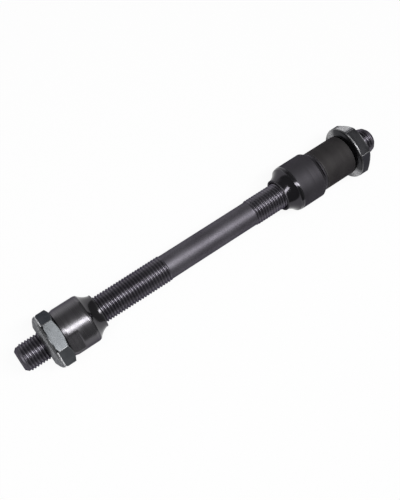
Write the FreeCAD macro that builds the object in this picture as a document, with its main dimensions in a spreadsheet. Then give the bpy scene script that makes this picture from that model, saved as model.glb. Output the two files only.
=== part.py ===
import FreeCAD, Part
import os
import Sketcher

# Rear hub axle set of a bicycle, in millimetres.
# The axle lies along Y, with its mid-length on the origin and +Z up.
# +Y is the brake side, with the spanner-flat cone; -Y is the sprocket side, with the spacer.

doc = FreeCAD.newDocument("HubAxle")
sheet = doc.addObject("Spreadsheet::Sheet", "Sizes")

sizes = [
    # axle
    ("axle_length", 145.5),
    ("thread_diameter", 9.5),
    ("shank_diameter", 8.9),
    ("skewer_bore", 5.2),
    ("left_thread", 56.5),
    ("right_thread", 54.0),
    ("thread_runout", 0.4),
    ("end_land", 1.5),
    ("end_chamfer", 0.6),
    ("skewer_mouth", 0.4),
    # places along the axle
    ("left_stub", 9.0),
    ("over_locknuts", 130.0),
    # fit of the threaded pieces on the axle
    ("thread_clearance", 0.05),
    ("thread_mouth", 0.5),
    # locknuts
    ("across_flats", 17.0),
    ("hex_height", 4.35),
    ("nut_face_diameter", 16.6),
    ("nut_chamfer_angle", 25.0),
    ("relief_diameter", 17.2),
    ("relief_rise", 0.6),
    ("collar_diameter", 19.3),
    ("collar_height", 2.3),
    ("collar_face_diameter", 13.8),
    ("rim_land", 0.3),
    ("rim_bevel_in", 0.35),
    ("rim_bevel_rise", 0.75),
    ("crown_bevel_in", 0.85),
    ("crown_bevel_rise", 0.6),
    ("nut_turn", 60.0),
    # cones
    ("cone_diameter", 17.0),
    ("neck_diameter", 11.85),
    ("neck_length", 0.6),
    ("race_length", 3.4),
    ("race_radius", 6.4),
    ("shoulder_drop", 0.25),
    ("shoulder_run", 0.9),
    ("left_cone_body", 10.0),
    ("left_rim_drop", 0.3),
    ("left_rim_run", 1.2),
    ("spanner_flats", 15.0),
    ("spanner_length", 4.4),
    ("spanner_turn", 45.0),
    ("right_cone_body", 12.5),
    ("right_rim_drop", 0.95),
    ("right_rim_run", 2.3),
    # spacer
    ("spacer_diameter", 14.85),
    ("spacer_length", 11.75),
    ("spacer_rim", 0.35),
]

for row, (alias, value) in enumerate(sizes, start=1):
    sheet.set("A%d" % row, alias)
    sheet.set("B%d" % row, str(value))
    sheet.setAlias("B%d" % row, alias)
doc.recompute()


def bind(text):
    # Puts the sheet's name before each alias of an expression.
    words = []
    for word in text.split(" "):
        words.append("Sizes." + word if word in names else word)
    return " ".join(words)


def value_of(text):
    # The expression's first value, which places the sketch before its constraints take over.
    probe.setExpression("Length", bind(text))
    doc.recompute()
    return probe.Length.Value


names = {alias for alias, value in sizes}
probe = doc.addObject("Part::Box", "Probe")


def origin_plane(body, role):
    return next(f for f in body.Origin.OriginFeatures if f.Role == role)


def new_sketch(body, name, role):
    sketch = body.newObject("Sketcher::SketchObject", name)
    sketch.AttachmentSupport = [(origin_plane(body, role), "")]
    sketch.MapMode = "FlatFace"
    return sketch


def outline(body, name, role, corners, arcs=()):
    # Closed outline through corners given as pairs of expressions, each corner held on both axes.
    # An arc (edge, radius, side) takes the place of the straight edge that starts at that corner.
    sketch = new_sketch(body, name, role)
    points = []
    for across, along in corners:
        points.append(FreeCAD.Vector(value_of(across), value_of(along), 0))
    bends = {edge: (radius, side) for edge, radius, side in arcs}
    ends = []
    for edge, start in enumerate(points):
        stop = points[(edge + 1) % len(points)]
        if edge in bends:
            radius, side = bends[edge]
            ends.append(add_arc(sketch, start, stop, value_of(radius), side))
        else:
            index = sketch.addGeometry(Part.LineSegment(start, stop), False)
            ends.append((index, 1, 2))
    for edge, (index, first, last) in enumerate(ends):
        following = ends[(edge + 1) % len(ends)]
        sketch.addConstraint(
            Sketcher.Constraint("Coincident", index, last, following[0], following[1]))
    for edge, (index, first, last) in enumerate(ends):
        hold(sketch, index, first, "DistanceX", corners[edge][0], points[edge].x)
        hold(sketch, index, first, "DistanceY", corners[edge][1], points[edge].y)
    for edge, (radius, side) in bends.items():
        number = sketch.addConstraint(
            Sketcher.Constraint("Radius", ends[edge][0], value_of(radius)))
        sketch.setExpression("Constraints[%d]" % number, bind(radius))
    doc.recompute()
    return sketch


def add_arc(sketch, start, stop, radius, side):
    # Arc from start to stop, with its centre to the left of that way for side +1.
    chord = stop - start
    left = FreeCAD.Vector(-chord.y, chord.x, 0).normalize()
    rise = (radius ** 2 - (chord.Length / 2) ** 2) ** 0.5
    centre = (start + stop) * 0.5 + left * rise * side
    circle = Part.Circle(centre, FreeCAD.Vector(0, 0, 1), radius)
    if side > 0:
        low, high = circle.parameter(start), circle.parameter(stop)
        order = (1, 2)
    else:
        low, high = circle.parameter(stop), circle.parameter(start)
        order = (2, 1)
    index = sketch.addGeometry(Part.ArcOfCircle(circle, low, high), False)
    return (index, order[0], order[1])


def hold(sketch, index, end, kind, text, value):
    if text == "0":
        axis = -2 if kind == "DistanceX" else -1
        sketch.addConstraint(Sketcher.Constraint("PointOnObject", index, end, axis))
        return
    number = sketch.addConstraint(Sketcher.Constraint(kind, -1, 1, index, end, value))
    sketch.setExpression("Constraints[%d]" % number, bind(text))


def turned(body, name, corners, arcs=()):
    # Solid of revolution round Y from half of its section.
    section = outline(body, name + "Section", "XY_Plane", corners, arcs)
    solid = body.newObject("PartDesign::Revolution", name)
    solid.Profile = section
    solid.ReferenceAxis = (section, ["V_Axis"])
    solid.Angle = 360
    doc.recompute()
    return solid


def flats(body, name, distance, reach, low, high, count):
    # Flats milled across the piece at the given distance from the axis, spaced evenly round it.
    corners = [(low, distance), (high, distance), (high, reach), (low, reach)]
    section = outline(body, name + "Section", "YZ_Plane", corners)
    before = body.Shape.Volume
    cut = body.newObject("PartDesign::Pocket", name)
    cut.Profile = section
    cut.Type = "Length"
    cut.SideType = "Symmetric"
    cut.setExpression("Length", bind("2 * " + reach))
    doc.recompute()
    spread = body.newObject("PartDesign::PolarPattern", name + "Round")
    spread.Originals = [cut]
    spread.Axis = (section, ["H_Axis"])
    spread.Angle = 360
    spread.Occurrences = count
    body.Tip = spread
    doc.recompute()
    if body.Shape.Volume >= before:
        raise RuntimeError(name + " cut nothing")


def new_body(label):
    body = doc.addObject("PartDesign::Body", label)
    body.Label = label
    return body


def turn(body, angle):
    # Turns the piece round the axle, as it was left when it was tightened.
    body.Placement.Rotation = FreeCAD.Rotation(FreeCAD.Vector(0, 1, 0), 1)
    body.setExpression("Placement.Rotation.Angle", bind(angle))


def seat(body, along):
    body.setExpression("Placement.Base.y", bind(along))


bodies = []

# Axle: rolled threads from both ends, a plain shank between them, bored through for the skewer.
axle = new_body("axle")
bore = "skewer_bore / 2"
mouth = "skewer_bore / 2 + skewer_mouth"
core = "shank_diameter / 2"
crest = "thread_diameter / 2"
turned(axle, "AxleTurned", [
    (mouth, "0"),
    ("shank_diameter / 2 - end_chamfer", "0"),
    (core, "end_chamfer"),
    (core, "end_land"),
    (crest, "end_land + thread_runout"),
    (crest, "right_thread - thread_runout"),
    (core, "right_thread"),
    (core, "axle_length - left_thread"),
    (crest, "axle_length - left_thread + thread_runout"),
    (crest, "axle_length - end_land - thread_runout"),
    (core, "axle_length - end_land"),
    (core, "axle_length - end_chamfer"),
    ("shank_diameter / 2 - end_chamfer", "axle_length"),
    (mouth, "axle_length"),
    (bore, "axle_length - skewer_mouth"),
    (bore, "skewer_mouth"),
])
seat(axle, "0 - axle_length / 2")
bodies.append(axle)

# What the threaded pieces share: the hole that runs on the thread and its countersunk mouths.
hole = "thread_diameter / 2 + thread_clearance"
hole_mouth = "thread_diameter / 2 + thread_clearance + thread_mouth"

# Places along Y, from the brake-side end inward and from the sprocket-side locknut inward.
nut_height = "hex_height + collar_height"
left_nut_foot = "axle_length / 2 - left_stub - hex_height - collar_height"
right_nut_foot = "axle_length / 2 - left_stub - over_locknuts"
spacer_foot = right_nut_foot + " + " + nut_height
right_cone_foot = spacer_foot + " + spacer_length"


def locknut(label, along):
    # Turned blank with a collar crowned in three bevels on its +Y side, then six flats below the collar.
    # The blank narrows under the collar, so the hexagon's corners are eased on both sides.
    body = new_body(label)
    corner = "across_flats / sqrt(3)"
    face = "nut_face_diameter / 2"
    slope = "( across_flats / sqrt(3) - nut_face_diameter / 2 ) * tan( nut_chamfer_angle )"
    rim = "collar_diameter / 2"
    bevel = "collar_diameter / 2 - rim_bevel_in"
    land = "hex_height + rim_land"
    turned(body, label + "Turned", [
        (hole_mouth, "0"),
        (face, "0"),
        (corner, slope),
        (corner, "hex_height - relief_rise"),
        ("relief_diameter / 2", "hex_height"),
        (rim, "hex_height"),
        (rim, land),
        (bevel, land + " + rim_bevel_rise"),
        (bevel + " - crown_bevel_in", land + " + rim_bevel_rise + crown_bevel_rise"),
        ("collar_face_diameter / 2", nut_height),
        (hole_mouth, nut_height),
        (hole, nut_height + " - thread_mouth"),
        (hole, "thread_mouth"),
    ])
    flats(body, label + "Flats", "across_flats / 2", "across_flats", "0", "hex_height", 6)
    turn(body, "nut_turn")
    seat(body, along)
    bodies.append(body)


def cone(label, length, drop, run):
    # Bearing cone from its neck outward: neck, hollow race, shoulder, body and outer rim.
    body = new_body(label)
    neck = "neck_diameter / 2"
    outer = "cone_diameter / 2"
    shoulder = "neck_length + race_length"
    end = "neck_length + race_length + " + length
    turned(body, label + "Turned", [
        (hole_mouth, "0"),
        (neck, "0"),
        (neck, "neck_length"),
        ("cone_diameter / 2 - shoulder_drop", shoulder),
        (outer, shoulder + " + shoulder_run"),
        (outer, end + " - " + run),
        (outer + " - " + drop, end),
        (hole, end),
        (hole, "thread_mouth"),
    ], arcs=[(2, "race_radius", -1)])
    bodies.append(body)
    return body, end


locknut("left_locknut", left_nut_foot)

# Brake-side cone: two spanner flats at its outer end, turned as it was left on the axle.
left_cone, left_end = cone("left_cone", "left_cone_body", "left_rim_drop", "left_rim_run")
flats(left_cone, "SpannerFlats", "spanner_flats / 2", "cone_diameter",
      left_end + " - spanner_length", left_end, 2)
turn(left_cone, "0 - spanner_turn")
seat(left_cone, left_nut_foot + " - neck_length - race_length - left_cone_body")

# Sprocket-side cone: plain body with a long chamfer towards the spacer, its neck towards +Y.
right_cone, right_end = cone("right_cone", "right_cone_body", "right_rim_drop", "right_rim_run")
right_cone.Placement.Rotation = FreeCAD.Rotation(FreeCAD.Vector(0, 0, 1), 180)
seat(right_cone, right_cone_foot + " + " + right_end)

# Spacer: plain tube between the sprocket-side cone and its locknut.
spacer = new_body("spacer")
turned(spacer, "SpacerTurned", [
    (hole, "0"),
    ("spacer_diameter / 2 - spacer_rim", "0"),
    ("spacer_diameter / 2", "spacer_rim"),
    ("spacer_diameter / 2", "spacer_length - spacer_rim"),
    ("spacer_diameter / 2 - spacer_rim", "spacer_length"),
    (hole, "spacer_length"),
])
seat(spacer, spacer_foot)
bodies.append(spacer)

locknut("right_locknut", right_nut_foot)

doc.removeObject(probe.Name)
doc.recompute()

for item in doc.Objects:
    if "Invalid" in item.State or "Error" in item.State:
        raise RuntimeError(item.Label + " failed")
for body in bodies:
    if body.Shape.isNull() or not body.Shape.isValid():
        raise RuntimeError(body.Label + " has no valid shape")

os.makedirs("parts", exist_ok=True)
for body in bodies:
    body.Shape.exportStep("parts/%s.step" % body.Label)
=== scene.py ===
import bmesh
import bpy
import math
from mathutils import Matrix, Vector


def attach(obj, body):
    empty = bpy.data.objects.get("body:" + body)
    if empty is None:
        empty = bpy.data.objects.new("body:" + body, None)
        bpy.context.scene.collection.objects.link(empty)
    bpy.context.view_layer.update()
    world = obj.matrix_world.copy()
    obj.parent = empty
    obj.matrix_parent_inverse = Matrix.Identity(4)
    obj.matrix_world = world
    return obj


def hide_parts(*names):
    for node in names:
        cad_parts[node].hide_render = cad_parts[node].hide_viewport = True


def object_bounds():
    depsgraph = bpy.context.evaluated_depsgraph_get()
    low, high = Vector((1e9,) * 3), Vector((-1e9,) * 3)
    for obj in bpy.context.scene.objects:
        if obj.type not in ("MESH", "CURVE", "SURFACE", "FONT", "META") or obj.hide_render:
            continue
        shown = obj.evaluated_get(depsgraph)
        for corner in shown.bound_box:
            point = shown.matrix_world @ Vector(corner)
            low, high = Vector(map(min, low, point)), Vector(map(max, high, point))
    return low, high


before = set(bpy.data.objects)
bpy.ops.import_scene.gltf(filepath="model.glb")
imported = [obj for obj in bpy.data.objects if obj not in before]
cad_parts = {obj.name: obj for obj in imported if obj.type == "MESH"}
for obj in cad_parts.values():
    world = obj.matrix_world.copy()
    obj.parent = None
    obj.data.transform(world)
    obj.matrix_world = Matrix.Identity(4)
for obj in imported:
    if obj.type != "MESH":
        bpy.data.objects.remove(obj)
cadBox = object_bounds()
mm = 0.001
hair = 0.001  # a thousandth of a millimetre, in the sections below
print("frame loaded:", len(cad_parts), "nodes")


# small helpers for node trees
def addNode(tree, kind, values=None, **settings):
    node = tree.nodes.new(kind)
    for key, value in settings.items():
        setattr(node, key, value)
    for key, value in (values or {}).items():
        feed(tree, node.inputs[key], value)
    return node


def feed(tree, socket, value):
    if isinstance(value, bpy.types.NodeSocket):
        tree.links.new(value, socket)
    else:
        socket.default_value = value


def calc(tree, operation, *values):
    node = addNode(tree, "ShaderNodeMath", operation=operation)
    for index, value in enumerate(values):
        feed(tree, node.inputs[index], value)
    return node.outputs[0]


def ramp(tree, value, low, high, smooth=True):
    kind = "SMOOTHSTEP" if smooth else "LINEAR"
    values = {"Value": value, "From Min": low, "From Max": high}
    return addNode(tree, "ShaderNodeMapRange", values, interpolation_type=kind).outputs["Result"]


def blendColour(tree, factor, first, second):
    node = addNode(tree, "ShaderNodeMix", data_type="RGBA")
    for index, value in ((0, factor), (6, first), (7, second)):
        feed(tree, node.inputs[index], value)
    return node.outputs[2]


def newGroup(name, inputs, outputs, kind="ShaderNodeTree"):
    tree = bpy.data.node_groups.new(name, kind)
    for label, socketType, value in inputs:
        socket = tree.interface.new_socket(label, in_out="INPUT", socket_type=socketType)
        if value is not None:
            socket.default_value = value
    for label, socketType in outputs:
        tree.interface.new_socket(label, in_out="OUTPUT", socket_type=socketType)
    source = tree.nodes.new("NodeGroupInput").outputs
    sink = tree.nodes.new("NodeGroupOutput").inputs
    return tree, source, sink


number, colour, integer = "NodeSocketFloat", "NodeSocketColor", "NodeSocketInt"


# what the black oxide has in common on every piece
oxideDetail = {
    "patchRange": (0.35, 0.68), "streakRange": (0.3, 0.7), "chipRange": (0.3, 0.62), "wornPolish": -0.12,
}


# its colour: a deep tone with cloudy lighter patches and a fine speckle
def makeOxideTone():
    tree, source, sink = newGroup(
        "oxideTone",
        [("Deep", colour, None), ("Bloom", colour, None),
         ("Patch Scale", number, 120.0), ("Speckle", number, 0.2)],
        [("Color", colour), ("Patch", number)])
    place = addNode(tree, "ShaderNodeTexCoord").outputs["Object"]
    cloud = addNode(tree, "ShaderNodeTexNoise",
                    {"Vector": place, "Scale": source["Patch Scale"], "Detail": 4.0})
    patch = ramp(tree, cloud.outputs["Fac"], *oxideDetail["patchRange"])
    grain = addNode(tree, "ShaderNodeTexNoise", {"Vector": place, "Scale": 3800.0, "Detail": 2.0})
    dots = calc(tree, "MULTIPLY", calc(tree, "SUBTRACT", grain.outputs["Fac"], 0.5), source["Speckle"])
    mixed = blendColour(tree, calc(tree, "ADD", patch, dots), source["Deep"], source["Bloom"])
    feed(tree, sink["Color"], mixed)
    feed(tree, sink["Patch"], patch)
    return tree


# rings left by the lathe, the same all the way round
def makeTurningMarks():
    tree, source, sink = newGroup(
        "turningMarks",
        [("Spacing", number, 0.0002), ("Waver", number, 0.15)],
        [("Height", number), ("Streak", number)])
    place = addNode(tree, "ShaderNodeTexCoord").outputs["Object"]
    along = addNode(tree, "ShaderNodeSeparateXYZ", {"Vector": place}).outputs["Y"]
    drift = addNode(tree, "ShaderNodeTexNoise", {"Vector": place, "Scale": 260.0, "Detail": 1.0})
    waver = calc(tree, "MULTIPLY", drift.outputs["Fac"], source["Waver"])
    turns = calc(tree, "ADD", calc(tree, "DIVIDE", along, source["Spacing"]), waver)
    fine, broad = [
        addNode(tree, "ShaderNodeTexNoise", {"W": turns, "Scale": scale, "Detail": 2.0},
                noise_dimensions="1D") for scale in (1.0, 0.09)]
    feed(tree, sink["Height"], fine.outputs["Fac"])
    feed(tree, sink["Streak"], ramp(tree, broad.outputs["Fac"], *oxideDetail["streakRange"]))
    return tree


# oxide rubbed thin where a piece is handled, and on the nuts' collars painted highlights and reflections as
# well: one mask broken up by noise
def makeWearAndPaintedGleam():
    tree, source, sink = newGroup(
        "wearAndPaintedGleam",
        [("Edge", number, 0.0), ("Amount", number, 0.5), ("Break Up", number, 900.0)],
        [("Wear And Gleam", number)])
    place = addNode(tree, "ShaderNodeTexCoord").outputs["Object"]
    chip = addNode(tree, "ShaderNodeTexNoise", {"Vector": place, "Scale": source["Break Up"], "Detail": 3.0})
    hold = ramp(tree, chip.outputs["Fac"], *oxideDetail["chipRange"])
    wearAndGleam = calc(tree, "MULTIPLY", calc(tree, "MULTIPLY", source["Edge"], hold), source["Amount"])
    feed(tree, sink["Wear And Gleam"], wearAndGleam)
    return tree


oxideTone = makeOxideTone()
turningMarks = makeTurningMarks()
wearAndPaintedGleam = makeWearAndPaintedGleam()


# two attributes of the mesh steer it: edge is rubbed towards bare steel, and on the nuts' collars it also
# carries painted highlights and reflections; ground is ground or polished, and painted shade darkens its
# colour
def blackOxide(name, look):
    material = bpy.data.materials.new(name)
    material.use_nodes = True
    tree = material.node_tree
    shader = tree.nodes["Principled BSDF"]
    tone = addNode(tree, "ShaderNodeGroup", node_tree=oxideTone)
    for label, key in (("Deep", "deep"), ("Bloom", "bloom")):
        tone.inputs[label].default_value = (*look[key], 1.0)
    tone.inputs["Patch Scale"].default_value = look["patchScale"]
    tone.inputs["Speckle"].default_value = look["speckle"]
    marks = addNode(tree, "ShaderNodeGroup", node_tree=turningMarks)
    marks.inputs["Spacing"].default_value = look["ringSpacing"]
    marks.inputs["Waver"].default_value = look["ringWaver"]
    edge = addNode(tree, "ShaderNodeAttribute", attribute_name="edge").outputs["Fac"]
    ground = addNode(tree, "ShaderNodeAttribute", attribute_name="ground").outputs["Fac"]
    rubAndGleam = addNode(tree, "ShaderNodeGroup", node_tree=wearAndPaintedGleam)
    feed(tree, rubAndGleam.inputs["Edge"], edge)
    rubAndGleam.inputs["Amount"].default_value = look["wear"]
    rubAndGleam.inputs["Break Up"].default_value = look["wearScale"]
    wearAndGleam = rubAndGleam.outputs["Wear And Gleam"]
    # painted shade: the colour is darkened on ground zones, the cones' races and the right nut's crown
    shade = calc(tree, "MULTIPLY", ground, look["paintedShadeOnGround"])
    shaded = blendColour(tree, shade, tone.outputs["Color"], (0.0, 0.0, 0.0, 1.0))
    feed(tree, shader.inputs["Base Color"], blendColour(tree, wearAndGleam, shaded, (*look["bare"], 1.0)))
    tint = blendColour(tree, ground, (*look["rimTint"], 1.0), (*look["groundTint"], 1.0))
    feed(tree, shader.inputs["Specular Tint"], tint)
    low, high = look["roughness"]
    halfSpan = (high - low) / 2
    clouded = calc(tree, "MULTIPLY_ADD", tone.outputs["Patch"], halfSpan, low)
    streaked = calc(tree, "MULTIPLY_ADD", marks.outputs["Streak"], halfSpan, clouded)
    dulled = calc(tree, "MULTIPLY_ADD", ground, look["groundRough"], streaked)
    polished = calc(tree, "MULTIPLY_ADD", wearAndGleam, oxideDetail["wornPolish"], dulled)
    feed(tree, shader.inputs["Roughness"], polished)
    feed(tree, shader.inputs["Metallic"], calc(tree, "MULTIPLY_ADD", wearAndGleam, -look["scuff"], look["metallic"]))
    grit = addNode(tree, "ShaderNodeTexNoise", {"Scale": look["gritScale"], "Detail": 2.0})
    feed(tree, grit.inputs["Vector"], addNode(tree, "ShaderNodeTexCoord").outputs["Object"])
    gritHeight = calc(tree, "MULTIPLY", grit.outputs["Fac"], look["grit"])
    height = calc(tree, "MULTIPLY_ADD", marks.outputs["Height"], look["rings"], gritHeight)
    bump = addNode(tree, "ShaderNodeBump", {"Height": height, "Distance": 0.00002, "Strength": look["bump"]})
    feed(tree, shader.inputs["Normal"], bump.outputs["Normal"])
    return material


# axle: a rolled right-hand thread from each end, a plain shank between, bored through for the skewer
axleLook = {
    "length": 145.5, "crest": 9.5, "root": 8.65, "shank": 8.9, "bore": 5.2, "pitch": 1.058,
    "leftThread": 56.5, "rightThread": 54.0, "fade": 0.9, "endLand": 1.5, "endChamfer": 1.0, "mouth": 0.4,
    "grooveWidth": 0.45, "grooveDepth": 0.18, "landSlope": 0.13, "landFade": 0.5, "ridgeRange": (0.1, 0.75),
    "crestPower": 3.0, "grooveRub": 0.35, "shankRub": 0.6, "columns": 72, "rowsPerTurn": 8,
    "metallic": 1.0, "rimTint": (0.28, 0.27, 0.31), "deep": (0.100, 0.092, 0.110),
    "bloom": (0.132, 0.124, 0.144), "patchScale": 70.0, "speckle": 0.35,
    "ringSpacing": 0.0006, "ringWaver": 0.4, "wear": 0.14, "wearScale": 2500.0,
    "bare": (0.50, 0.50, 0.53), "scuff": 0.0, "roughness": (0.27, 0.35),
    "groundRough": 0.23, "groundTint": (0.28, 0.27, 0.31), "paintedShadeOnGround": 0.0,
    "gritScale": 2600.0, "grit": 0.8, "rings": 0.3, "bump": 0.25,
}


# one conical or flat ring round the axle, for its ends and its bore
def makeRingSkin():
    tree, source, sink = newGroup(
        "ringSkin",
        [("Columns", integer, 72), ("Start Along", number, 0.0), ("Stop Along", number, 0.0),
         ("Start Radius", number, 0.0), ("Stop Radius", number, 0.0)],
        [("Mesh", "NodeSocketGeometry")], "GeometryNodeTree")
    sides = calc(tree, "ADD", source["Columns"], 1.0)
    grid = addNode(tree, "GeometryNodeMeshGrid",
                   {"Size X": 1.0, "Size Y": 1.0, "Vertices X": sides, "Vertices Y": 2})
    place = addNode(tree, "GeometryNodeInputPosition").outputs[0]
    spot = addNode(tree, "ShaderNodeSeparateXYZ", {"Vector": place})
    turn = calc(tree, "MULTIPLY", calc(tree, "ADD", spot.outputs["X"], 0.5), math.tau)
    part = calc(tree, "ADD", spot.outputs["Y"], 0.5)

    def between(start, stop):
        run = calc(tree, "SUBTRACT", source[stop], source[start])
        return calc(tree, "MULTIPLY_ADD", run, part, source[start])

    along = between("Start Along", "Stop Along")
    wrapped = wrapRound(tree, turn, along, between("Start Radius", "Stop Radius"))
    placed = addNode(tree, "GeometryNodeSetPosition", {"Geometry": grid.outputs["Mesh"], "Position": wrapped})
    feed(tree, sink["Mesh"], placed.outputs[0])
    return tree


def wrapRound(tree, turn, along, radius):
    spot = addNode(tree, "ShaderNodeCombineXYZ", {"Y": along})
    feed(tree, spot.inputs["X"], calc(tree, "MULTIPLY", radius, calc(tree, "SINE", turn)))
    feed(tree, spot.inputs["Z"], calc(tree, "MULTIPLY", radius, calc(tree, "COSINE", turn)))
    return spot.outputs[0]


def makeAxleTree(ringSkin, look):
    sizes = ["Length", "Crest", "Root", "Shank", "Bore", "Pitch", "Left Thread", "Right Thread", "Fade",
             "End Land", "End Chamfer", "Mouth", "Groove Width", "Groove Depth", "Land Slope"]
    inputs = [(label, number, 0.0) for label in sizes]
    inputs += [("Columns", integer, 72), ("Rows", integer, 100), ("Rows Per Turn", integer, 8),
               ("Finish", "NodeSocketMaterial", None)]
    outputs = [("Geometry", "NodeSocketGeometry")]
    tree, source, sink = newGroup("rolledAxle", inputs, outputs, "GeometryNodeTree")
    half = calc(tree, "MULTIPLY", source["Length"], 0.5)
    reach = calc(tree, "SUBTRACT", half, source["End Chamfer"])
    low = calc(tree, "MULTIPLY", reach, -1.0)
    # rows of the grid climb one pitch a turn, so each row follows the thread
    sides = calc(tree, "ADD", source["Columns"], 1.0)
    lines = calc(tree, "ADD", source["Rows"], 1.0)
    grid = addNode(tree, "GeometryNodeMeshGrid",
                   {"Size X": 1.0, "Size Y": 1.0, "Vertices X": sides, "Vertices Y": lines})
    place = addNode(tree, "GeometryNodeInputPosition").outputs[0]
    spot = addNode(tree, "ShaderNodeSeparateXYZ", {"Vector": place})
    share = calc(tree, "ADD", spot.outputs["X"], 0.5)
    rise = calc(tree, "ADD", spot.outputs["Y"], 0.5)
    row = calc(tree, "ROUND", calc(tree, "MULTIPLY", rise, source["Rows"]))
    turnsUp = calc(tree, "DIVIDE", row, source["Rows Per Turn"])
    climb = calc(tree, "SUBTRACT", calc(tree, "ADD", turnsUp, share), 1.0)
    free = calc(tree, "MULTIPLY_ADD", climb, source["Pitch"], low)
    along = calc(tree, "MINIMUM", calc(tree, "MAXIMUM", free, low), reach)
    # rounded crest and root with steeper flanks between
    halfRow = calc(tree, "DIVIDE", 0.5, source["Rows Per Turn"])
    phase = calc(tree, "FRACT", calc(tree, "ADD", turnsUp, halfRow))
    peak = calc(tree, "ABSOLUTE", calc(tree, "MULTIPLY_ADD", phase, 2.0, -1.0))
    ridge = ramp(tree, peak, *look["ridgeRange"])
    # the thread fades in past the end lands and fades out at the shank
    leftStart = calc(tree, "SUBTRACT", half, source["Left Thread"])
    rightStop = calc(tree, "SUBTRACT", source["Right Thread"], half)
    outer = calc(tree, "SUBTRACT", half, source["End Land"])
    toShank = calc(tree, "ADD", ramp(tree, along, leftStart, calc(tree, "ADD", leftStart, source["Fade"])),
                   ramp(tree, along, rightStop, calc(tree, "SUBTRACT", rightStop, source["Fade"])))
    out = calc(tree, "ABSOLUTE", along)
    landFade = calc(tree, "MULTIPLY", source["Fade"], look["landFade"])
    toLand = ramp(tree, out, outer, calc(tree, "SUBTRACT", outer, landFade))
    cutDepth = calc(tree, "MULTIPLY", toShank, toLand)
    threadDepth = calc(tree, "SUBTRACT", source["Crest"], source["Root"])
    formed = calc(tree, "MULTIPLY_ADD", threadDepth, ridge, source["Root"])
    offShank = calc(tree, "SUBTRACT", formed, source["Shank"])
    blended = calc(tree, "MULTIPLY_ADD", offShank, cutDepth, source["Shank"])
    # a shallow groove parts each end land from its thread
    fromGroove = calc(tree, "ABSOLUTE", calc(tree, "SUBTRACT", out, outer))
    groove = ramp(tree, fromGroove, source["Groove Width"], 0.0)
    grooved = calc(tree, "SUBTRACT", blended, calc(tree, "MULTIPLY", groove, source["Groove Depth"]))
    onLand = calc(tree, "MAXIMUM", calc(tree, "SUBTRACT", out, outer), 0.0)
    radius = calc(tree, "SUBTRACT", grooved, calc(tree, "MULTIPLY", onLand, source["Land Slope"]))
    wrapped = wrapRound(tree, calc(tree, "MULTIPLY", share, math.tau), along, radius)
    # crests, grooves and shank are rubbed; shank and lands are ground
    crests = calc(tree, "MULTIPLY", calc(tree, "POWER", ridge, look["crestPower"]), cutDepth)
    rubbed = calc(tree, "MAXIMUM", crests, calc(tree, "MULTIPLY", groove, look["grooveRub"]))
    onShank = calc(tree, "SUBTRACT", 1.0, toShank)
    rubbed = calc(tree, "MAXIMUM", rubbed, calc(tree, "MULTIPLY", onShank, look["shankRub"]))
    ground = calc(tree, "SUBTRACT", 1.0, cutDepth)
    # both are stored on the flat grid, because wrapping it round moves every point
    marked = grid
    for label, value in (("edge", rubbed), ("ground", ground)):
        marked = addNode(tree, "GeometryNodeStoreNamedAttribute",
                         {"Geometry": marked.outputs[0], "Name": label, "Value": value},
                         data_type="FLOAT", domain="POINT")
    # end chamfers, end faces, mouths of the bore and the bore itself
    joined = addNode(tree, "GeometryNodeJoinGeometry")
    skin = addNode(tree, "GeometryNodeSetPosition", {"Geometry": marked.outputs[0], "Position": wrapped})
    feed(tree, joined.inputs[0], skin.outputs[0])
    landRun = calc(tree, "SUBTRACT", reach, outer)
    landEnd = calc(tree, "SUBTRACT", source["Shank"], calc(tree, "MULTIPLY", landRun, source["Land Slope"]))
    tip = calc(tree, "SUBTRACT", source["Shank"], source["End Chamfer"])
    lip = calc(tree, "ADD", source["Bore"], source["Mouth"])
    throat = calc(tree, "SUBTRACT", half, source["Mouth"])

    def ring(startAlong, stopAlong, startRadius, stopRadius):
        skinNode = addNode(tree, "GeometryNodeGroup", node_tree=ringSkin)
        values = (source["Columns"], startAlong, stopAlong, startRadius, stopRadius)
        for socket, value in zip(skinNode.inputs, values):
            feed(tree, socket, value)
        tree.links.new(skinNode.outputs[0], joined.inputs[0])

    def flip(value):
        return calc(tree, "MULTIPLY", value, -1.0)

    for towards in (lambda value: value, flip):
        ring(towards(reach), towards(half), landEnd, tip)
        ring(towards(half), towards(half), tip, lip)
        ring(towards(half), towards(throat), lip, source["Bore"])
    ring(throat, flip(throat), source["Bore"], source["Bore"])
    closed = addNode(tree, "GeometryNodeMergeByDistance",
                     {"Geometry": joined.outputs[0], "Distance": 0.000004})
    dressed = addNode(tree, "GeometryNodeSetMaterial",
                      {"Geometry": closed.outputs[0], "Material": source["Finish"]})
    feed(tree, sink["Geometry"], dressed.outputs[0])
    return tree


def setInputs(modifier, values):
    for item in modifier.node_group.interface.items_tree:
        if item.item_type == "SOCKET" and item.in_out == "INPUT" and item.name in values:
            modifier[item.identifier] = values[item.name]


def closeSkin(mesh, weld=0.000002, sliver=0.0000005):
    work = bmesh.new()
    work.from_mesh(mesh)
    bmesh.ops.remove_doubles(work, verts=work.verts, dist=weld)
    bmesh.ops.dissolve_degenerate(work, edges=work.edges, dist=sliver)
    bmesh.ops.recalc_face_normals(work, faces=work.faces)
    for face in work.faces:
        face.smooth = True
    work.to_mesh(mesh)
    work.free()


def standFor(piece, node):
    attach(piece, node)
    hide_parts(node)


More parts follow.
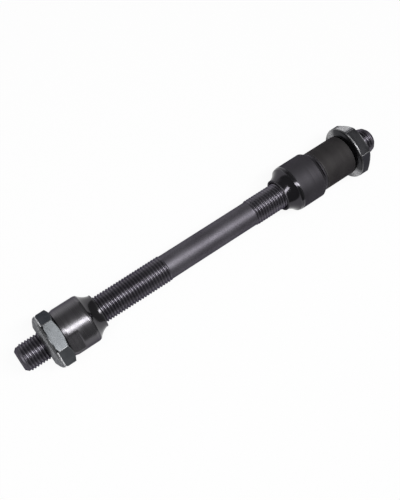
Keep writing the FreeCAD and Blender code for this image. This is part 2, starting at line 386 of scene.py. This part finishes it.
def makeAxle(look):
    finish = blackOxide("axleOxide", look)
    tree = makeAxleTree(makeRingSkin(), look)
    mesh = bpy.data.meshes.new("axleStart")
    maker = bpy.data.objects.new("axleMaker", mesh)
    bpy.context.scene.collection.objects.link(maker)
    modifier = maker.modifiers.new("rolledAxle", "NODES")
    modifier.node_group = tree
    rows = math.ceil((look["length"] - 2 * look["endChamfer"]) / look["pitch"] + 2) * look["rowsPerTurn"]
    setInputs(modifier, {
        "Length": look["length"] * mm, "Crest": look["crest"] / 2 * mm, "Root": look["root"] / 2 * mm,
        "Shank": look["shank"] / 2 * mm, "Bore": look["bore"] / 2 * mm, "Pitch": look["pitch"] * mm,
        "Left Thread": look["leftThread"] * mm, "Right Thread": look["rightThread"] * mm,
        "Fade": look["fade"] * mm, "End Land": look["endLand"] * mm, "End Chamfer": look["endChamfer"] * mm,
        "Mouth": look["mouth"] * mm, "Groove Width": look["grooveWidth"] * mm,
        "Groove Depth": look["grooveDepth"] * mm, "Land Slope": look["landSlope"],
        "Columns": look["columns"], "Rows": rows, "Rows Per Turn": look["rowsPerTurn"], "Finish": finish,
    })
    depsgraph = bpy.context.evaluated_depsgraph_get()
    solid = bpy.data.meshes.new_from_object(maker.evaluated_get(depsgraph), depsgraph=depsgraph)
    solid.name = "threadedAxle"
    bpy.data.objects.remove(maker)
    closeSkin(solid)
    axle = bpy.data.objects.new("threadedAxle", solid)
    bpy.context.scene.collection.objects.link(axle)
    standFor(axle, "axle")
    print("axle:", len(solid.polygons), "faces")


makeAxle(axleLook)


# turned pieces: a closed half section (radius, along, fillet) in mm, swept round the axle
# a fillet takes up to the share mostOfSide of the shorter side beside it
def roundCorners(section, steps=5, mostOfSide=0.45):
    loop = []
    count = len(section)
    for index, (radius, along, fillet) in enumerate(section):
        here = Vector((radius, along))
        if not fillet:
            loop.append((radius, along, 0.0))
            continue
        before = Vector(section[index - 1][:2]) - here
        after = Vector(section[(index + 1) % count][:2]) - here
        opening = before.angle(after)
        shorter = min(before.length, after.length)
        back = min(fillet / math.tan(opening / 2), shorter * mostOfSide)
        first, last = here + before.normalized() * back, here + after.normalized() * back
        for step in range(steps + 1):
            share = step / steps
            point = first.lerp(here, share).lerp(here.lerp(last, share), share)
            loop.append((point.x, point.y, math.sin(math.pi * share)))
    return loop


def divide(loop, longest):
    fine = []
    for index, (radius, along, edge) in enumerate(loop):
        nextRadius, nextAlong, nextEdge = loop[(index + 1) % len(loop)]
        pieces = max(1, math.ceil(math.hypot(nextRadius - radius, nextAlong - along) / longest))
        for piece in range(pieces):
            share = piece / pieces
            fine.append((radius + (nextRadius - radius) * share, along + (nextAlong - along) * share,
                         edge + (nextEdge - edge) * share))
    return fine


def evenTurn(columns):
    return [math.tau * column / columns for column in range(columns)]


def sweep(name, loop, turns, place, finish, shape=None):
    work = bmesh.new()
    edgeLayer = work.verts.layers.float.new("edge")
    groundLayer = work.verts.layers.float.new("ground")
    rings = []
    for radius, along, edge in loop:
        ring = []
        for turn in turns:
            size, rubAndGleam, ground = shape(radius, along, turn, edge) if shape else (radius, edge, 0.0)
            spot = (size * math.sin(turn) * mm, place(along) * mm, size * math.cos(turn) * mm)
            vertex = work.verts.new(spot)
            vertex[edgeLayer] = rubAndGleam
            vertex[groundLayer] = ground
            ring.append(vertex)
        rings.append(ring)
    columns = len(turns)
    for index, ring in enumerate(rings):
        following = rings[(index + 1) % len(rings)]
        for column in range(columns):
            beside = (column + 1) % columns
            work.faces.new((ring[column], ring[beside], following[beside], following[column]))
    mesh = bpy.data.meshes.new(name)
    work.to_mesh(mesh)
    work.free()
    mesh.materials.append(finish)
    closeSkin(mesh)
    piece = bpy.data.objects.new(name, mesh)
    bpy.context.scene.collection.objects.link(piece)
    print(name + ":", len(mesh.polygons), "faces")
    return piece


# locknuts: six flats under a crowned collar, corners eased on both sides
# the right collar is lower and one of its flats is lighter in the middle; on both nuts the collar's rim
# carries a painted highlight, on the right one with a little rubbing all round, and the right crown's two
# sides carry a painted reflection
nutLook = {
    "acrossFlats": 17.0, "hexHeight": 4.35, "faceDiameter": 16.6, "chamferAngle": 25.0, "bulge": 0.05,
    "collar": 19.3, "crownHeight": 2.0, "collarFace": 13.8, "rimLand": 0.3, "rimBevel": (0.35, 0.75),
    "crownBevel": (0.85, 0.6), "hole": 9.6, "holeMouth": 0.5, "cornerRound": 0.3, "cornerSwell": 0.25,
    "fillets": {"mouth": 0.05, "face": 0.12, "rimFoot": 0.08, "rimTop": 0.14, "bevel": 0.5, "crown": 0.6,
                "collarFace": 0.35},
    "longest": 0.11, "flatColumns": 22, "cornerColumns": 6, "creaseSoft": 0.12, "hexRub": 0.4,
    "creaseFrom": 0.2, "cornerFrom": 0.3, "collarSkin": 1.0, "crownFrom": 0.1, "crownEdge": 0.5,
    "browReach": (22.0, 33.0), "sideReach": (8.0, 24.0), "footPlace": 0.2, "footReach": (0.0, 0.3),
    "patchTurn": 60.0, "patchHalfTurn": 27.0, "patchMiddle": 0.42, "patchHalfHeight": 0.5, "patchPower": 4,
    "left": {"foot": 57.1, "relief": (18.6, 0.55), "collarHeight": 2.3,
             "crownRub": 0.26, "rimRubAndPaintedHighlight": 1.0, "quietTop": 30.0, "browPaintedHighlight": 0.0, "sidePaintedReflection": 0.0,
             "flatPale": 0.0, "footRub": 0.0, "crownGround": 0.0,
             # painted light: this tone is lighter than the right nut's
             "deep": (0.066, 0.070, 0.074), "bloom": (0.090, 0.095, 0.100)},
    "right": {"foot": -66.25, "relief": (19.5, 0.1), "collarHeight": 1.35,
              "crownRub": 0.0, "rimRubAndPaintedHighlight": 0.15, "quietTop": -1.0, "browPaintedHighlight": 0.7, "sidePaintedReflection": 0.55,
              "flatPale": 0.95, "footRub": 0.6, "crownGround": 1.0,
              # painted shade: this tone is darker than the left nut's
              "deep": (0.056, 0.056, 0.061), "bloom": (0.074, 0.074, 0.080)},
    "metallic": 1.0, "rimTint": (0.35, 0.35, 0.37), "patchScale": 160.0, "speckle": 0.5,
    "ringSpacing": 0.00012, "ringWaver": 0.3, "wear": 1.0, "wearScale": 4000.0,
    # bare is the colour of rubbed steel, and also the colour of the painted highlights and reflections on the
    # collars
    "bare": (0.85, 0.85, 0.87), "scuff": 1.0, "roughness": (0.24, 0.34),
    "groundRough": 0.0, "groundTint": (1.0, 1.0, 1.0), "paintedShadeOnGround": 0.4,
    "gritScale": 2400.0, "grit": 1.0, "rings": 0.25, "bump": 0.35,
}


# the smaller of two radii with a soft crease between them, and how near the crease is
def softMin(first, second, soft):
    share = max(0.0, min(1.0, 0.5 + 0.5 * (second - first) / soft))
    return second + (first - second) * share - soft * share * (1 - share), 1 - abs(2 * share - 1)


# 1 up to the distance full, 0 from the distance gone on
def fadeOut(distance, full, gone):
    return min(1.0, max(0.0, (gone - distance) / (gone - full)))


# degrees between a turn and a direction, 0 to 180
def degreesFrom(turn, direction):
    return abs((math.degrees(turn) - direction + 180) % 360 - 180)


def makeLocknut(name, node, side, look, finish):
    use = look[side]
    halfSector = math.radians(30)
    flat = look["acrossFlats"] / 2
    corner = flat / math.cos(halfSector)
    height = look["hexHeight"]
    face = look["faceDiameter"] / 2
    rise = (corner - face) * math.tan(math.radians(look["chamferAngle"]))
    rim = look["collar"] / 2
    land = height + look["rimLand"]
    top = height + use["collarHeight"]
    hole = look["hole"] / 2
    mouth = hole + look["holeMouth"]
    bulge = look["bulge"]
    rimIn, rimUp = look["rimBevel"]
    crownIn, crownUp = look["crownBevel"]
    squash = (top - land) / look["crownHeight"]
    reliefDiameter, reliefRise = use["relief"]
    fillets = look["fillets"]
    section = [
        (mouth, 0.0, fillets["mouth"]), (face, 0.0, fillets["face"]),
        (corner + bulge, rise * (1 + bulge), 0.0), (corner + bulge, height - reliefRise, 0.0),
        (reliefDiameter / 2, height, 0.0), (rim, height + hair, fillets["rimFoot"]),
        (rim, land, fillets["rimTop"]), (rim - rimIn, land + rimUp * squash, fillets["bevel"] * squash),
        (rim - rimIn - crownIn, land + (rimUp + crownUp) * squash, fillets["crown"] * squash),
        (look["collarFace"] / 2, top, fillets["collarFace"]), (mouth, top, fillets["mouth"]),
        (hole, top - look["holeMouth"], 0.0), (hole, look["holeMouth"], 0.0),
    ]
    loop = divide(roundCorners(section), look["longest"])
    # even columns over each flat, closer ones round each corner
    ease = look["cornerRound"]
    slope = math.tan(halfSector)
    flatEnd = math.degrees(math.atan((flat * slope - ease * slope) / flat))
    flatColumns, cornerColumns = look["flatColumns"], look["cornerColumns"]
    sector = [-flatEnd + 2 * flatEnd * step / flatColumns for step in range(flatColumns + 1)]
    sector += [flatEnd + (60 - 2 * flatEnd) * step / cornerColumns for step in range(1, cornerColumns)]
    turns = [math.radians(60 * sixth + turn) for sixth in range(6) for turn in sector]

    def collarWearAndGleam(along, turn, edge):
        fromTop = degreesFrom(turn, 0)
        if along > land + look["crownFrom"]:
            # painted reflection: the crown is lightened on its two sides only
            sides = use["sidePaintedReflection"] * fadeOut(abs(fromTop - 90), *look["sideReach"])
            return max(use["crownRub"] * (1 + edge * look["crownEdge"]), sides)
        # painted highlight along the rim, left out near the top on the left nut and strongest before the top
        # flat on the right nut; on the right rim a little rubbing goes all round
        rimRubAndPaintedHighlight = use["rimRubAndPaintedHighlight"] if fromTop > use["quietTop"] else 0.0
        return max(rimRubAndPaintedHighlight, use["browPaintedHighlight"] * fadeOut(fromTop, *look["browReach"]))

    def hexagon(radius, along, turn, edge):
        if along > height and radius > face - look["collarSkin"]:
            return radius, collarWearAndGleam(along, turn, edge), use["crownGround"]
        if along > height or radius < face:
            return radius, edge, 0.0
        off = math.radians((math.degrees(turn) + 30) % 60 - 30)
        across = flat / math.cos(off)
        tip = corner - ease * (1 / math.cos(halfSector) - 1)
        onCorner = abs(math.degrees(off)) > flatEnd
        if onCorner:
            across = min(across, tip + (across - tip) * look["cornerSwell"])
        size, crease = softMin(radius, across, look["creaseSoft"])
        creaseRub = crease if radius > face + look["creaseFrom"] else 0.0
        cornerRub = 1.0 if onCorner and along >= rise * look["cornerFrom"] else 0.0
        # the middle of one flat is made lighter
        fromPatch = max(degreesFrom(turn, look["patchTurn"]) / look["patchHalfTurn"],
                        abs(along - height * look["patchMiddle"]) / (height * look["patchHalfHeight"]))
        patch = use["flatPale"] * max(0.0, 1 - fromPatch ** look["patchPower"])
        foot = use["footRub"] * fadeOut(abs(along - look["footPlace"]), *look["footReach"])
        return size, max(look["hexRub"] * max(creaseRub, cornerRub), patch, foot), 0.0

    nut = sweep(name, loop, turns, lambda along: use["foot"] + along, finish, hexagon)
    standFor(nut, node)


for side in ("left", "right"):
    finish = blackOxide(side + "LocknutOxide", {**nutLook, **nutLook[side]})
    makeLocknut(side + "Locknut", side + "_locknut", side, nutLook, finish)


# cones: neck, hollow ball race, shoulder and body
# the left one has two spanner flats, the right one a fine groove, a long chamfer and a short boss
coneLook = {
    "diameter": 17.0, "neck": 11.85, "neckLength": 0.6, "raceLength": 3.4, "raceRadius": 6.4,
    "shoulderDrop": 0.25, "shoulderRun": 0.9, "hole": 9.6, "holeMouth": 0.5, "columns": 160, "longest": 0.5,
    "fillets": {"mouth": 0.05, "neck": 0.12, "raceTop": 0.15, "shoulder": 0.6, "chamfer": 0.25, "end": 0.12,
                "boss": 0.05},
    "left": {"body": 10.0, "drop": 0.3, "run": 1.2, "neckPlace": 43.1, "way": 1.0, "groove": None,
             # painted light: this tone is lighter than the right cone's
             "deep": (0.122, 0.118, 0.127), "bloom": (0.150, 0.146, 0.156), "roughness": (0.22, 0.31),
             "groundRough": -0.08, "paintedShadeOnGround": 0.45, "groundPast": 0.05, "boss": None},
    "right": {"body": 12.5, "drop": 0.95, "run": 2.3, "neckPlace": -31.35, "way": -1.0, "groove": 10.85,
              # painted shade: this tone is darker than the left cone's
              "deep": (0.070, 0.066, 0.075), "bloom": (0.086, 0.082, 0.092), "roughness": (0.60, 0.68),
              "groundRough": -0.50, "paintedShadeOnGround": 0.35, "groundPast": 1.3, "boss": (14.85, 0.85)},
    "grooveWidth": 0.3, "grooveDepth": 0.03, "bossRise": 0.05, "bossPolish": 0.2,
    "raceFrom": 0.5, "skin": 0.1,
    "spannerFlats": 15.0, "spannerLength": 4.4, "spannerTurn": -45.0, "spannerStep": 0.02,
    "leastFacing": 0.05, "creaseSoft": 0.05,
    "metallic": 1.0, "rimTint": (0.37, 0.36, 0.39), "patchScale": 90.0, "speckle": 0.25,
    "ringSpacing": 0.00016, "ringWaver": 0.12, "wear": 0.5, "wearScale": 800.0,
    "bare": (0.34, 0.34, 0.35), "scuff": 0.0, "groundTint": (1.0, 1.0, 1.0),
    "gritScale": 3000.0, "grit": 0.3, "rings": 0.6, "bump": 0.12,
}


def raceCurve(start, stop, radius, steps=18):
    first, last = Vector(start), Vector(stop)
    chord = last - first
    right = Vector((chord.y, -chord.x)).normalized()
    centre = (first + last) / 2 + right * math.sqrt(radius ** 2 - (chord.length / 2) ** 2)
    fromAngle = math.atan2(first.y - centre.y, first.x - centre.x)
    toAngle = math.atan2(last.y - centre.y, last.x - centre.x)
    points = []
    for step in range(1, steps):
        angle = fromAngle + (toAngle - fromAngle) * step / steps
        points.append((centre.x + radius * math.cos(angle), centre.y + radius * math.sin(angle), 0.0))
    return points


def makeCone(name, node, side, look, finish):
    use = look[side]
    fillets = look["fillets"]
    neck, outer = look["neck"] / 2, look["diameter"] / 2
    hole = look["hole"] / 2
    mouth = hole + look["holeMouth"]
    shoulder = look["neckLength"] + look["raceLength"]
    end = shoulder + use["body"]
    raceTop = outer - look["shoulderDrop"]
    section = [(mouth, 0.0, fillets["mouth"]), (neck, 0.0, fillets["neck"]), (neck, look["neckLength"], 0.0)]
    section += raceCurve((neck, look["neckLength"]), (raceTop, shoulder), look["raceRadius"])
    section += [(raceTop, shoulder, fillets["raceTop"]),
                (outer, shoulder + look["shoulderRun"], fillets["shoulder"])]
    if use["groove"]:
        middle, reach = use["groove"], look["grooveWidth"] / 2
        section += [(outer, middle - reach, 0.0), (outer - look["grooveDepth"], middle, 0.0),
                    (outer, middle + reach, 0.0)]
    bossDiameter, bossLength = use["boss"] or (0.0, 0.0)
    chamferEnd = end - bossLength
    section += [(outer, end - use["run"], fillets["chamfer"]),
                (outer - use["drop"], chamferEnd, fillets["end"])]
    if use["boss"]:
        section += [(bossDiameter / 2, chamferEnd + look["bossRise"], 0.0),
                    (bossDiameter / 2, end, fillets["boss"])]
    section += [(hole, end, 0.0), (hole, look["holeMouth"], 0.0)]
    loop = divide(roundCorners(section), look["longest"])
    flatStart = end - look["spannerLength"]

    # polished on the race, the shoulder and the edge before the boss, where the colour also gets painted
    # shade
    def spannerFlats(radius, along, turn, edge):
        outside = radius > mouth + look["skin"]
        if side == "left" and outside and along >= flatStart:
            facing = abs(math.cos(turn - math.radians(look["spannerTurn"])))
            across = look["spannerFlats"] / 2 / max(facing, look["leastFacing"])
            cut, crease = softMin(radius, across, look["creaseSoft"])
            return cut, max(edge, crease), 0.0
        onRace = look["neckLength"] * look["raceFrom"] < along < shoulder + use["groundPast"]
        onEdge = bool(use["boss"]) and abs(along - chamferEnd) < look["bossPolish"]
        return radius, edge, 1.0 if outside and (onRace or onEdge) else 0.0

    if side == "left":
        # two rows close together make the step at the flats' start sharp
        at = next(index for index, (radius, along, edge) in enumerate(loop)
                  if radius > outer - hair and along > flatStart)
        loop[at:at] = [(outer, flatStart - look["spannerStep"], 0.0), (outer, flatStart, 0.0)]
    turns = evenTurn(look["columns"])
    cone = sweep(name, loop, turns, lambda along: use["neckPlace"] + use["way"] * along, finish, spannerFlats)
    standFor(cone, node)


for side in ("left", "right"):
    finish = blackOxide(side + "ConeOxide", {**coneLook, **coneLook[side]})
    makeCone(side + "Cone", side + "_cone", side, coneLook, finish)


# spacer: a plain tube, duller than the cones, that reaches to the right locknut's lower collar
spacerLook = {
    "diameter": 14.85, "length": 12.7, "rim": 0.35, "hole": 9.6, "foot": -60.55, "columns": 144,
    "longest": 0.8, "fillets": {"face": 0.12, "rim": 0.2},
    "metallic": 1.0, "rimTint": (0.30, 0.29, 0.33), "deep": (0.062, 0.058, 0.060),
    "bloom": (0.076, 0.072, 0.073), "patchScale": 200.0, "speckle": 0.6,
    "ringSpacing": 0.0003, "ringWaver": 0.3, "wear": 0.45, "wearScale": 900.0,
    "bare": (0.32, 0.32, 0.33), "scuff": 0.0, "roughness": (0.70, 0.80),
    "groundRough": 0.0, "groundTint": (0.30, 0.29, 0.33), "paintedShadeOnGround": 0.0,
    "gritScale": 2200.0, "grit": 1.0, "rings": 0.4, "bump": 0.35,
}


def makeSpacer(look):
    outer, hole, end, rim = look["diameter"] / 2, look["hole"] / 2, look["length"], look["rim"]
    fillets = look["fillets"]
    section = [(hole, 0.0, 0.0), (outer - rim, 0.0, fillets["face"]), (outer, rim, fillets["rim"]),
               (outer, end - rim, fillets["rim"]), (outer - rim, end, fillets["face"]), (hole, end, 0.0)]
    loop = divide(roundCorners(section), look["longest"])
    finish = blackOxide("spacerOxide", look)
    tube = sweep("spacerTube", loop, evenTurn(look["columns"]), lambda along: look["foot"] + along, finish)
    standFor(tube, "spacer")


makeSpacer(spacerLook)


# floor, lamp, world and camera
studio = {
    "floorSize": 30.0, "floorColour": (0.86, 0.86, 0.86), "glow": 0.92, "mirrorGlow": (0.22, 0.70),
    "paperSlant": 1.5, "paperRange": (-0.05, 0.10),
    "keyPlace": (-0.042, 0.012, 0.40), "keySize": (0.515, 0.11), "keyPower": 1.8,
    "horizon": 0.68, "darkSide": 0.17, "ceiling": 0.19, "roomGlow": 0.03,
    "lengthwiseRange": (0.5, 0.08), "sideRange": (-0.6, 0.4), "ceilingRange": (0.05, 0.45),
    "eye": (-0.017461, 0.066181, 0.226924), "right": (-0.55212, -0.82129, 0.14382),
    "up": (0.83043, -0.52617, 0.18326), "lens": 50.03, "sensor": 36.0, "shift": (0.0601, 0.0297),
    "clip": (0.01, 100.0),
}


# how far white takes over, seen directly and in the steel
def seenShare(tree, direct, mirrored):
    path = addNode(tree, "ShaderNodeLightPath").outputs
    reflected = calc(tree, "MAXIMUM", path["Is Glossy Ray"], path["Is Transmission Ray"])
    return calc(tree, "MAXIMUM", calc(tree, "MULTIPLY", path["Is Camera Ray"], direct),
                calc(tree, "MULTIPLY", reflected, mirrored))


def makeFloor(look):
    size = look["floorSize"] / 2
    level = cadBox[0].z
    mesh = bpy.data.meshes.new("studioFloor")
    corners = [(-size, -size, level), (size, -size, level), (size, size, level), (-size, size, level)]
    mesh.from_pydata(corners, [], [(0, 1, 2, 3)])
    floor = bpy.data.objects.new("studioFloor", mesh)
    bpy.context.scene.collection.objects.link(floor)
    material = bpy.data.materials.new("paleFloor")
    material.use_nodes = True
    tree = material.node_tree
    tree.nodes.clear()
    paint = addNode(tree, "ShaderNodeBsdfDiffuse", {"Color": (*look["floorColour"], 1.0)})
    glow = addNode(tree, "ShaderNodeEmission", {"Color": (1.0, 1.0, 1.0, 1.0), "Strength": 1.0})
    # the paper is brighter towards +X and +Y in what the steel mirrors
    spot = addNode(tree, "ShaderNodeTexCoord").outputs["Object"]
    place = addNode(tree, "ShaderNodeSeparateXYZ", {"Vector": spot}).outputs
    slant = calc(tree, "MULTIPLY_ADD", place["X"], look["paperSlant"], place["Y"])
    lit = ramp(tree, slant, *look["paperRange"])
    dim, bright = look["mirrorGlow"]
    share = seenShare(tree, look["glow"], calc(tree, "MULTIPLY_ADD", lit, bright - dim, dim))
    mixed = addNode(tree, "ShaderNodeMixShader", {0: share, 1: paint.outputs[0], 2: glow.outputs[0]})
    addNode(tree, "ShaderNodeOutputMaterial", {"Surface": mixed.outputs[0]})
    mesh.materials.append(material)


def makeLight(look):
    lamp = bpy.data.lights.new("keyPanel", "AREA")
    lamp.shape = "RECTANGLE"
    lamp.size, lamp.size_y = look["keySize"]
    lamp.energy = look["keyPower"]
    key = bpy.data.objects.new("keyPanel", lamp)
    bpy.context.scene.collection.objects.link(key)
    key.location = look["keyPlace"]
    key.rotation_mode = "QUATERNION"
    key.rotation_quaternion = (-Vector(look["keyPlace"])).to_track_quat("-Z", "Y")
    world = bpy.data.worlds.new("paleRoom")
    bpy.context.scene.world = world
    world.use_nodes = True
    tree = world.node_tree
    tree.nodes.clear()
    ray = addNode(tree, "ShaderNodeTexCoord").outputs["Generated"]
    way = addNode(tree, "ShaderNodeSeparateXYZ", {"Vector": ray}).outputs
    # the room is bright towards +X and dark elsewhere
    lengthwise = ramp(tree, calc(tree, "ABSOLUTE", way["Y"]), *look["lengthwiseRange"])
    brightSide = calc(tree, "MULTIPLY", ramp(tree, way["X"], *look["sideRange"]), lengthwise)
    walls = calc(tree, "MULTIPLY_ADD", brightSide, look["horizon"] - look["darkSide"], look["darkSide"])
    overhead = ramp(tree, way["Z"], *look["ceilingRange"])
    room = calc(tree, "MULTIPLY_ADD", overhead, calc(tree, "SUBTRACT", look["ceiling"], walls), walls)
    share = seenShare(tree, 1.0, look["roomGlow"])
    level = calc(tree, "MULTIPLY_ADD", share, calc(tree, "SUBTRACT", 1.0, room), room)
    sky = addNode(tree, "ShaderNodeBackground", {"Color": (1.0, 1.0, 1.0, 1.0), "Strength": level})
    addNode(tree, "ShaderNodeOutputWorld", {"Surface": sky.outputs[0]})


def makeCamera(look):
    lens = bpy.data.cameras.new("photoCamera")
    lens.lens, lens.sensor_width = look["lens"], look["sensor"]
    lens.shift_x, lens.shift_y = look["shift"]
    lens.clip_start, lens.clip_end = look["clip"]
    camera = bpy.data.objects.new("photoCamera", lens)
    bpy.context.scene.collection.objects.link(camera)
    right = Vector(look["right"]).normalized()
    up = Vector(look["up"])
    up = (up - right * up.dot(right)).normalized()
    back = right.cross(up)
    turned = Matrix((right, up, back)).transposed().to_4x4()
    camera.matrix_world = Matrix.Translation(look["eye"]) @ turned
    bpy.context.scene.camera = camera


makeFloor(studio)
makeLight(studio)
makeCamera(studio)
bpy.context.scene.view_settings.view_transform = "Standard"
print("studio ready")
